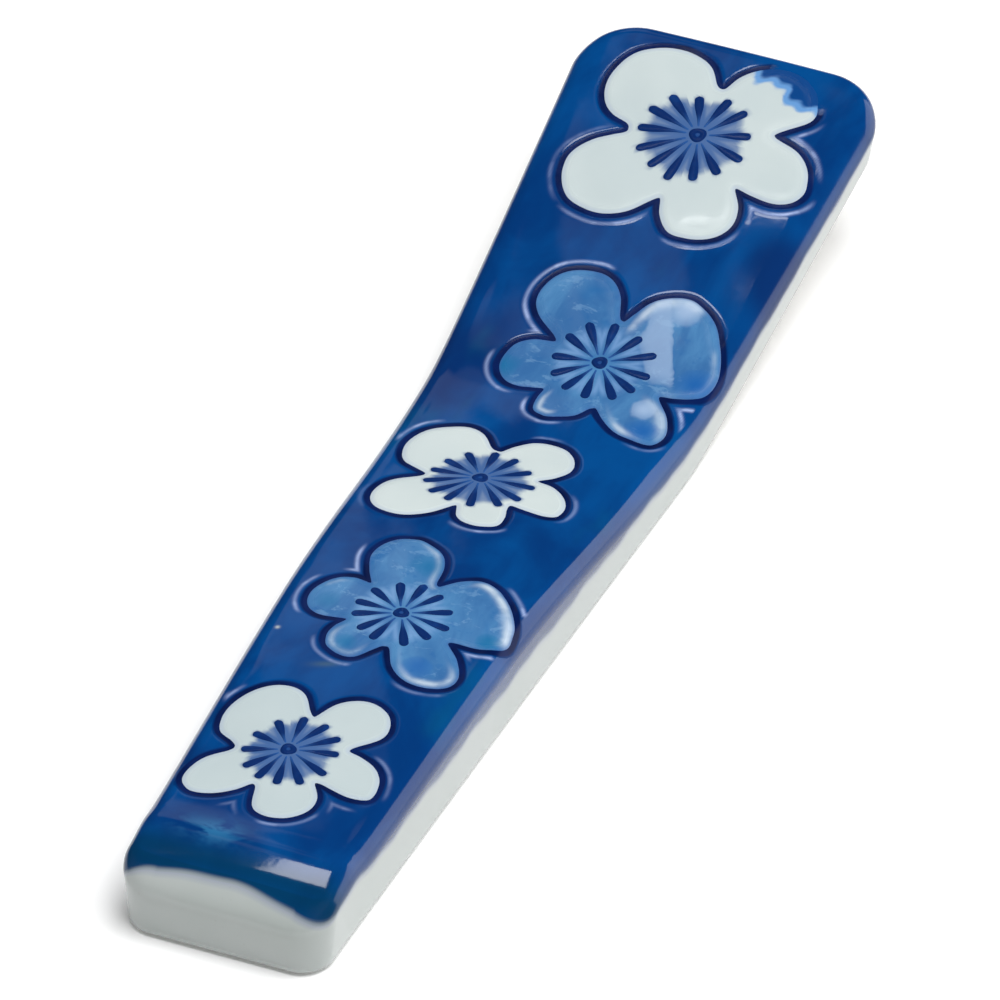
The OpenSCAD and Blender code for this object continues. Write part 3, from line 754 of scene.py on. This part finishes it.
def rim_plan(narrow_in, side_in, lip_in):
    """x and y of the rim, moved in at the narrow end, the sides and the lip."""
    x = rim[:, 0] + rim[:, 2] * (narrow_in + INSIDE) + rim[:, 4] * (lip_in + INSIDE)
    y = rim[:, 1] + rim[:, 3] * (side_in + INSIDE)
    return x, y


def edge_ring(down, depth=0.0):
    """Ring of points, down mm from the flat top over the rounded edge and down the side."""
    a = np.maximum(0, math.pi / 2 - down / rim_r)
    below = np.maximum(0, down - edge_run)
    lean = LEAN * below / rim_side_h

    def inset(r):
        return r - (r - depth) * np.cos(a) + lean

    x, y = rim_plan(inset(NARROW_R), inset(SIDE_R), inset(LIP_R))
    z = top_z(x) - rim_r + (rim_r - depth) * np.sin(a) - below
    return settle(np.stack([x, y, z], -1))


def border_run():
    """How far the blue glaze runs down from the flat top, all round the rim."""
    x, y = rim[:, 0], rim[:, 1]
    white = WHITE_NARROW + (WHITE_LIP - WHITE_NARROW) * (x + HALF) / LENGTH
    white = np.where(y > 0, np.minimum(white, WHITE_LEFT), white)
    side = edge_run + rim_side_h - white
    u = np.clip((y + 0.2) / NCY, -1, 1)
    end = 0.44 + np.where(u > 0, 0.42 * u**2, 0.74 * np.abs(u) ** 1.4)
    turn = np.clip((x + HALF) / NARROW_CORNER_R, 0, 1) ** np.where(y > 0, 1.1, 0.6)
    wander = 0.10 * np.sin(0.9 * x + 1.3) + 0.06 * np.sin(2.3 * x + 0.8 * y)
    wander_end = 0.03 * np.sin(1.9 * y + 0.5)
    return end + wander_end + (side + wander - end) * turn


cobalt_run = border_run()
glazed_run = edge_run + rim_side_h - BARE


# Cobalt glaze
REACH = 9.4  # a blossom's groove and pale line reach less far than this from its centre


def blossom_fields(x, y):
    """Over the top: distance from the nearest petals, the pale ridge, and the brushed-over part."""
    dist = np.full(x.shape, REACH)
    ridge_and_highlight = np.zeros(x.shape)
    for b in range(len(BLOSSOMS)):
        r, a = polar(b, x, y)
        near = r < REACH
        e = edge_distance(b, x[near], y[near])
        dist[near] = np.minimum(dist[near], e)
        ridge_and_highlight[near] = np.maximum(ridge_and_highlight[near], ridge_mask(b, a[near], e))
        if b == BRUSHED:
            brushed = brushed_sector(a) * smooth(4.5, 5.2, r)
    return dist, ridge_and_highlight, brushed


def smudge_mask(x, y):
    """A short smudge that lies level in the photograph."""
    off_x, off_y = x - SMUDGE[0], y - SMUDGE[1]
    return bell(level_way(off_x, off_y), 0, 0.75) * bell(level_way(off_y, -off_x), 0, 0.22)


def build_cobalt_skin():
    x = np.repeat(stations[:, None], ACROSS + 1, 1)
    y = widths[:, None] * np.linspace(-1, 1, ACROSS + 1)[None]
    d = x + HALF
    dist, ridge_and_highlight, brushed = blossom_fields(x, y)
    height = (groove(dist) * (1 - brushed) + RIDGE_H * ridge_and_highlight) * calm(x, y)
    down = np.arange(1, RINGS + 1)[:, None] / RINGS
    rings = [edge_ring(cobalt_run * share) for share in down[:, 0]]
    points = np.concatenate([on_top(x, y, height).reshape(-1, 3)] + rings)

    faces = [grid_faces(rows, ACROSS + 1)[:, ::-1]]
    numbers = [rim_numbers] + [x.size + k * loop + np.arange(loop) for k in range(RINGS)]
    for upper, lower in zip(numbers, numbers[1:]):
        faces.append(np.stack([upper, lower, np.roll(lower, -1), np.roll(upper, -1)], -1))

    def values(flat, edge=0.0):
        """A value for each point, of the flat top and of the rings over the edge."""
        return np.concatenate([np.ravel(flat), np.ravel(np.broadcast_to(edge, (RINGS, loop)))])

    ring_d = np.array([ring[:, 0] for ring in rings]) + HALF
    run_left = cobalt_run * (1 - down)
    side_part = np.abs(rim[:, 3])
    attrs = {
        "navy": values((1 - smooth(0.24, 0.46, dist)) * 0.8 * (1 - brushed)),
        # the pale ridge line: thin glaze over the ridge, with painted highlight
        "ridge_and_highlight": values(ridge_and_highlight),
        # rim: lilac-grey over the rounded side edges, partly thinner glaze and partly painted sheen
        "rim": values(np.zeros(x.shape), down * side_part),
        "light_pool": values(bell(d, 4.1, 0.8) * bell(y, 1.9, 1.7)),
        "smudge": values(smudge_mask(x, y)),
        # darker over the rounding of the narrow end: partly pooled glaze, partly painted shade
        "pool_and_painted_shade": values(bell(d, 2.2, 1.1) * 0.75, bell(ring_d, 1.6, 1.5) * 0.8),
        "fade": values(
            bell(np.hypot(x - PINHOLE[0], y - PINHOLE[1]), 0, 0.11),
            0.6 * (1 - smooth(0.0, 0.35, run_left)),
        ),
    }
    faces = np.concatenate(faces)
    mesh_piece("cobalt_glaze_skin", points, faces, "cobalt_glaze", attrs, cobalt_material())


# Clear glaze down the white side, thinning out in a soft roll just above the foot
def build_clear_glaze():
    span = glazed_run - cobalt_run
    runs = [span * k / CLEAR_RINGS for k in range(CLEAR_RINGS + 1)]
    rings = [edge_ring(cobalt_run + run) for run in runs]
    rings.append(edge_ring(glazed_run + 0.06, 0.10))
    rings.append(edge_ring(glazed_run + 0.08, 0.30))
    run_from = np.array(runs + [span, span])
    attrs = {"blue": 0.35 * (1 - smooth(0.0, 0.30, run_from))}
    faces = grid_faces(len(rings), loop, wrap=True)[:, ::-1]
    points = np.concatenate(rings)
    mesh_piece("clear_glaze_skin", points, faces, "clear_glaze", attrs, clear_material())


# Bare foot: a closed shell just inside the glaze, down to the table and along the underside
def foot_ring(h, bevel, share=1.0):
    """Ring h mm above the underside; share draws it in toward the middle line."""
    inset = GLAZE + LEAN + bevel
    x, y = rim_plan(inset, inset, inset)
    return np.stack([x, y * share, foot_z(x) + h], -1)


def build_foot():
    rings = [edge_ring(glazed_run * 0.5, GLAZE), edge_ring(glazed_run, GLAZE), foot_ring(BEVEL, 0.0)]
    for k in range(1, 6):
        a = math.radians(18 * k)
        rings.append(foot_ring(BEVEL * (1 - math.sin(a)), BEVEL * (1 - math.cos(a))))
    for share in (0.97, 0.9, 0.75, 0.55, 0.3, 0.1, 0.0):
        rings.append(foot_ring(0.0, BEVEL, share))
    faces = grid_faces(len(rings), loop, wrap=True)[:, ::-1]
    points = np.concatenate(rings)
    mesh_piece("bare_foot", points, faces, "porcelain_body", {}, clay_material())


# Petals
angles = np.arange(COLS) * 360 / COLS
PETAL_RINGS = (1 - (1 - np.linspace(0, 1, 34)) ** 1.6)[1:]  # shares of the radius, closer at the edge
SKIRT_OUT, SKIRT_DOWN = 0.015, 0.04  # how far out and into the groove the petals' edge goes down
DEEP_INSIDE = 2.5  # from this far inside the petals on, their height no longer changes


def nearest_stroke(b, rad, ang):
    """Distance sideways from the nearest stroke's middle line, and that stroke's length."""
    off_here = np.full(rad.shape, 99.0)
    length_here = np.zeros_like(rad)
    for a, length in BLOSSOMS[b]["strokes"]:
        off = np.abs((ang - a + 180) % 360 - 180)
        closer = off < off_here
        off_here = np.where(closer, off, off_here)
        length_here = np.where(closer, length, length_here)
    return rad * np.radians(off_here), length_here


def white_wash(b, rad, ang):
    """Blue wash round the stamens of a white blossom."""
    aside, tip = nearest_stroke(b, rad, ang)
    core = 1 - smooth(tip * 0.80, tip * 0.97, rad + 0.30 * aside)
    bed = (1 - smooth(0.14, 0.38, aside)) * (1 - smooth(tip - 0.15, tip + 0.12, rad))
    light = smooth(0.26, 0.50, aside) * smooth(0.8, 1.5, rad) * 0.16
    return np.clip(0.94 * np.maximum(core, bed) - light * core, 0, 1)


def pale_wash(b, rad, ang):
    """Light lines between the stamens of a pale blossom."""
    aside, tip = nearest_stroke(b, rad, ang)
    return bell(aside, 0.40, 0.17) * smooth(0.5, 1.0, rad) * (1 - smooth(2.0, 2.7, rad)) * 0.75


def ragged_end(b, rad, ang):
    """How far the brushed-over blue covers the petal, past a straight line with soft teeth."""
    if b != BRUSHED:
        return np.zeros_like(rad)
    x, y = from_centre(ang, rad)
    beyond = 0.926 * x - 0.378 * y
    beside = 0.378 * x + 0.926 * y
    teeth = 0.22 * np.sin(2.3 * beside + 0.9) + 0.13 * np.sin(5.9 * beside + 1.0)
    return smooth(4.5, 6.1, beyond + teeth) * 1.2


def rim_light(b, ang, inside):
    """Lighter rims just inside the edge of pale petals: glaze thin over the raised edge, with painted
    highlight.
    """
    fade, far_in = BLOSSOMS[b]["rim_soft"]
    total = np.zeros_like(ang)
    for first, last, width, strength in BLOSSOMS[b]["rims"]:
        past = (ang - first) % 360
        wide = (last - first) % 360
        ends = smooth(0, fade, past) * (1 - smooth(wide - fade, wide, past))
        total = np.maximum(total, strength * ends * bell(inside, far_in, width * 0.42))
    return total


def glaze_patches(b, rad, ang):
    """Where pale, teal and deep blue glaze lies in the pale petals."""
    x, y = from_centre(ang, rad)
    patches = {key: np.zeros_like(rad) for key in ("pale", "teal", "deep")}
    if b == SHEET:
        limit = smooth(-4.05, -3.80, -level_way(x, y))
        right_part = smooth(0.8, 1.8, -y) * smooth(-1.2, 0.6, x)
        patches["pale"] = 0.55 * limit * right_part * smooth(1.9, 2.8, rad)
    for kind, at_x, at_y, size, strength in BLOSSOMS[b]["patches"]:
        spot = strength * bell(np.hypot(x - at_x, y - at_y), 0, size)
        patches[kind] = np.maximum(patches[kind], spot)
    return patches


def petal_points(b):
    """Points of the petals, centre first, and the radius, angle and depth inside of each."""
    radius = petal_radius(b, angles)
    r = radius[None] * PETAL_RINGS[:, None]
    x, y = ray(b, angles[None], r)
    e = edge_distance(b, x, y)
    e[-1] = 0
    rings = on_top(x, y, petal_height(e) - GROOVE * (1 - calm(x, y)))
    skirt_x, skirt_y = ray(b, angles, radius + SKIRT_OUT)
    skirt = on_top(skirt_x, skirt_y, GROOVE - SKIRT_DOWN)
    cx, cy = centre_of(b)
    centre = on_top(np.array([cx]), np.array([cy]), petal_height(-DEEP_INSIDE))
    points = np.concatenate([centre, rings.reshape(-1, 3), skirt])
    rad = np.concatenate([[0.0], r.ravel(), radius])
    ang = np.concatenate([[0.0], np.tile(angles, len(PETAL_RINGS)), angles])
    inside = np.concatenate([[DEEP_INSIDE], -e.ravel(), np.zeros(COLS)])
    return points, rad, ang, inside


def petal_faces():
    first = 1 + np.arange(COLS)
    fan = np.stack([np.zeros(COLS, int), first, np.roll(first, -1), np.roll(first, -1)], -1)
    return np.concatenate([fan, grid_faces(len(PETAL_RINGS) + 1, COLS, wrap=True) + 1])


def build_petals(b, looks):
    points, rad, ang, inside = petal_points(b)
    name = f"blossom_{b + 1}"
    attrs = {"edge": inside}
    if BLOSSOMS[b]["white"]:
        attrs["wash"] = white_wash(b, rad, ang)
        attrs["ragged"] = ragged_end(b, rad, ang)
        attrs["shade"] = np.full(rad.shape, BLOSSOMS[b]["shade"])
        look, slot = looks["white"], "white_petal_glaze"
    else:
        attrs["wash"] = pale_wash(b, rad, ang)
        attrs["thin_rim_and_highlight"] = rim_light(b, ang, inside)
        attrs.update(glaze_patches(b, rad, ang))
        look, slot = looks["pale"], "pale_blue_petal_glaze"
    mesh_piece(name + "_petal_relief", points, petal_faces(), name + "_petals", attrs, look)


# The dark line in its groove
LINE_W, LINE_UNDER = 0.44, 0.06  # how wide it is, and how far it starts under the petals
LINE_REACH = 1.4  # the most that it goes out along one angle, in the notches between petals
LINE_H, LINE_SINK = 0.010, 0.02  # its height over the groove, and how far its outer edge sinks in


def build_outline(b, look):
    radius = petal_radius(b, angles)
    out = np.arange(0.0, 1.6, 0.04)
    x, y = ray(b, angles[None], radius[None] + out[:, None])
    in_line = edge_distance(b, x, y) < LINE_W
    last = np.array([np.max(np.where(in_line[:, j])[0]) for j in range(COLS)])
    wide = LINE_UNDER + np.minimum(out[last], LINE_REACH)
    steps_out = np.linspace(0, 1, 9)
    x, y = ray(b, angles[None], radius - LINE_UNDER + wide * steps_out[:, None])
    e = edge_distance(b, x, y)
    h = groove(e) * calm(x, y) + LINE_H - LINE_SINK * smooth(0.38, LINE_W, e)
    if b == BRUSHED:
        brushed = brushed_sector(angles)[None]
        h = h * (1 - brushed) + (-0.02 - 0.03 * smooth(0.0, 0.25, e)) * brushed
    points, faces = on_top(x, y, h), grid_faces(len(steps_out), COLS, wrap=True)
    name = f"blossom_{b + 1}"
    attrs = {"edge": np.maximum(e, 0)}
    mesh_piece(name + "_outline_line", points, faces, name + "_outline", attrs, look)


# Stamens: club-ended raised strokes, and the pistil's small ring
STROKE_START, STROKE_HALF = 0.42, 0.065  # where a stroke starts, and half its width there
STROKE_H, STROKE_SINK = 0.055, 0.012  # its height, and how far it is sunk in
STROKE_ALONG = np.concatenate([np.linspace(0, 0.9, 14), [0.94, 0.97, 0.99, 1.0]])
STROKE_COLS = 9
PISTIL_R = np.array([0.0, 0.10, 0.16, 0.22, 0.28, 0.34, 0.40, 0.46])
PISTIL_H = np.array([0.015, 0.012, 0.03, 0.05, 0.055, 0.05, 0.02, -0.02])
PISTIL_COLS = 40


def stroke_points(b, i, scale):
    angle, length = BLOSSOMS[b]["strokes"][i]
    along = STROKE_ALONG
    across = np.linspace(-1, 1, STROKE_COLS)[None]
    widening = 0.19 if BLOSSOMS[b]["white"] else 0.21
    half = STROKE_HALF + widening * smooth(0.12, 0.80, along)
    round_end = np.sqrt(np.clip(1 - np.clip((along - 0.90) / 0.10, 0, 1) ** 2, 0, 1))
    half = (half * np.maximum(round_end, 0.04) * scale)[:, None]
    start = STROKE_START * scale
    r = (start + (length - start) * along)[:, None] + 0 * across
    bend = 3.0 * math.sin(i * 2.4 + b)
    a = np.radians(angle + bend * (1 - along) ** 2)[:, None]
    cx, cy = centre_of(b)
    x = cx + r * np.cos(a) - half * across * np.sin(a)
    y = cy + r * np.sin(a) + half * across * np.cos(a)
    ground = petal_height(np.maximum(edge_distance(b, x, y), -DEEP_INSIDE))
    back = STROKE_H * np.sqrt(np.clip(1 - across**2, 0, 1)) * smooth(0.0, 0.2, along)[:, None]
    return on_top(x, y, ground + back - STROKE_SINK)


def pistil_points(b, scale):
    a = np.arange(PISTIL_COLS) * 360 / PISTIL_COLS
    wobble = 1 + 0.06 * np.sin(np.radians(a * 3) + b)
    x, y = ray(b, a[None], PISTIL_R[:, None] * scale * wobble)
    return on_top(x, y, petal_height(-DEEP_INSIDE) + PISTIL_H[:, None])


def build_stamens(b, look):
    scale = 1.12 if b == BRUSHED else 1.0
    points, faces, tips = [], [], []
    stroke_faces = grid_faces(len(STROKE_ALONG), STROKE_COLS)[:, ::-1]
    stroke_size = len(STROKE_ALONG) * STROKE_COLS
    count = len(BLOSSOMS[b]["strokes"])
    for i in range(count):
        points.append(stroke_points(b, i, scale).reshape(-1, 3))
        faces.append(stroke_faces + i * stroke_size)
        tips.append(np.repeat(STROKE_ALONG, STROKE_COLS))
    points.append(pistil_points(b, scale).reshape(-1, 3))
    faces.append(grid_faces(len(PISTIL_R), PISTIL_COLS, wrap=True) + count * stroke_size)
    tips.append(np.repeat(0.25 + 0.45 * (PISTIL_R > 0.15), PISTIL_COLS))
    name = f"blossom_{b + 1}"
    attrs = {"tip": np.concatenate(tips)}
    points, faces = np.concatenate(points), np.concatenate(faces)
    mesh_piece(name + "_stamen_strokes", points, faces, name + "_stamens", attrs, look)


def build_blossoms():
    looks = {"white": white_petal_material(), "pale": pale_petal_material()}
    outline_look, stamen_look = outline_material(), stamen_material()
    for b in range(len(BLOSSOMS)):
        build_petals(b, looks)
        build_outline(b, outline_look)
        build_stamens(b, stamen_look)


# Floor, lights and camera
FLOOR_HALF = 2.0
CARD_AT, CARD_GAP = 0.71, 0.004  # distance of the haze cards, and the gap between nested ones
CARD_GROW_Y, CARD_GROW_UP = 0.012, 2  # how much larger each nested card is: y share and degrees


def build_floor():
    """Pale paper that glows a little, so that it stays white far out."""
    me = bpy.data.meshes.new("floor")
    corners = [(-1, -1), (1, -1), (1, 1), (-1, 1)]
    me.from_pydata([(x * FLOOR_HALF, y * FLOOR_HALF, 0) for x, y in corners], [], [(0, 1, 2, 3)])
    floor = bpy.data.objects.new("floor", me)
    bpy.context.scene.collection.objects.link(floor)
    mat, _, bsdf = new_material("floor_paper")
    bsdf.inputs["Base Color"].default_value = (0.93, 0.93, 0.93, 1)
    bsdf.inputs["Roughness"].default_value = 0.9
    bsdf.inputs["Specular IOR Level"].default_value = 0.0
    bsdf.inputs["Emission Color"].default_value = (1, 1, 1, 1)
    bsdf.inputs["Emission Strength"].default_value = 0.10
    me.materials.append(mat)


def softbox(name, at, size_x, size_y, radiance, facing_down=False, glossy=True):
    """A soft rectangular light that faces the rest, or straight down."""
    light = bpy.data.lights.new(name, "AREA")
    light.shape = "RECTANGLE"
    light.size, light.size_y = size_x, size_y
    light.energy = radiance * math.pi * size_x * size_y
    ob = bpy.data.objects.new(name, light)
    ob.location = at
    if not facing_down:
        ob.rotation_euler = (-Vector(at)).to_track_quat("-Z", "Y").to_euler()
    ob.visible_glossy = glossy
    bpy.context.scene.collection.objects.link(ob)


def card(name, low, high, right_edge, left_edge, radiance):
    """Three faint nested cards that show as haze in the glaze.

    They stand between two elevations in degrees, and between two edges given as y over distance.
    """
    z = math.sin(math.radians((low + high) / 2))
    y = (right_edge + left_edge) / 2
    x = math.sqrt(1 - z * z - y * y)
    for k, grow in enumerate((-1, 0, 1)):
        away = CARD_AT + CARD_GAP * k
        wide = CARD_AT * (left_edge - right_edge + CARD_GROW_Y * grow) * math.hypot(x, y) / x
        tall = CARD_AT * math.radians(high - low + CARD_GROW_UP * grow)
        softbox(f"{name}_{k + 1}", (away * x, away * y, away * z), wide, tall, radiance / 3)


def build_lights():
    """Two boxes that light the rest but don't show in the glaze, and the lights that do."""
    softbox("main_box", (-0.06, -0.20, 0.68), 0.50, 0.50, 7.7, glossy=False)
    softbox("left_fill", (-0.05, 0.60, 0.42), 0.50, 0.40, 1.2, glossy=False)
    softbox("right_back", (0.63, -0.60, 0.33), 0.80, 0.66, 1.7)
    card("hump_haze", 20, 30, 0.336, 0.45, 0.26)
    card("valley_haze", 30, 40, 0.312, 0.45, 0.36)
    card("narrow_haze", 40, 47, 0.288, 0.340, 0.20)
    card("lip_haze", 53, 66, 0.274, 0.312, 0.28)
    softbox("window", (0.207, 0.158, 0.58), 0.096, 0.056, 7.0, facing_down=True)


def build_world():
    """A nearly black surrounding."""
    world = bpy.data.worlds.new("studio")
    bpy.context.scene.world = world
    world.use_nodes = True
    world.node_tree.nodes["Background"].inputs["Color"].default_value = (0.015, 0.015, 0.015, 1)
    bpy.context.scene.view_settings.view_transform = "Standard"


CAMERA_FORWARD, CAMERA_RIGHT = (0.7250, 0.3033, -0.6184), (0.3859, -0.9225, 0.0)
CAMERA_AWAY, CAMERA_LENS, SENSOR = 800.0, 545.76, 36.0  # in mm
AIM_H, AIM_RIGHT, AIM_UP = 3.0, 0.57573, 0.61530  # a height on the z axis, and the aim off it


def unit(v):
    return np.array(v) / np.linalg.norm(v)


def build_camera():
    forward, right = unit(CAMERA_FORWARD), unit(CAMERA_RIGHT)
    up = np.cross(right, forward)
    target = np.array([0, 0, AIM_H]) + right * AIM_RIGHT + up * AIM_UP
    cam = bpy.data.cameras.new("camera")
    cam.lens, cam.sensor_width = CAMERA_LENS, SENSOR
    cam.clip_start, cam.clip_end = 0.05, 20
    camera = bpy.data.objects.new("camera", cam)
    camera.location = (target - CAMERA_AWAY * forward) * MM
    camera.rotation_euler = Vector(forward).to_track_quat("-Z", "Y").to_euler()
    bpy.context.scene.collection.objects.link(camera)
    bpy.context.scene.camera = camera


build_cobalt_skin()
build_clear_glaze()
build_foot()
build_blossoms()
build_floor()
build_lights()
build_world()
build_camera()
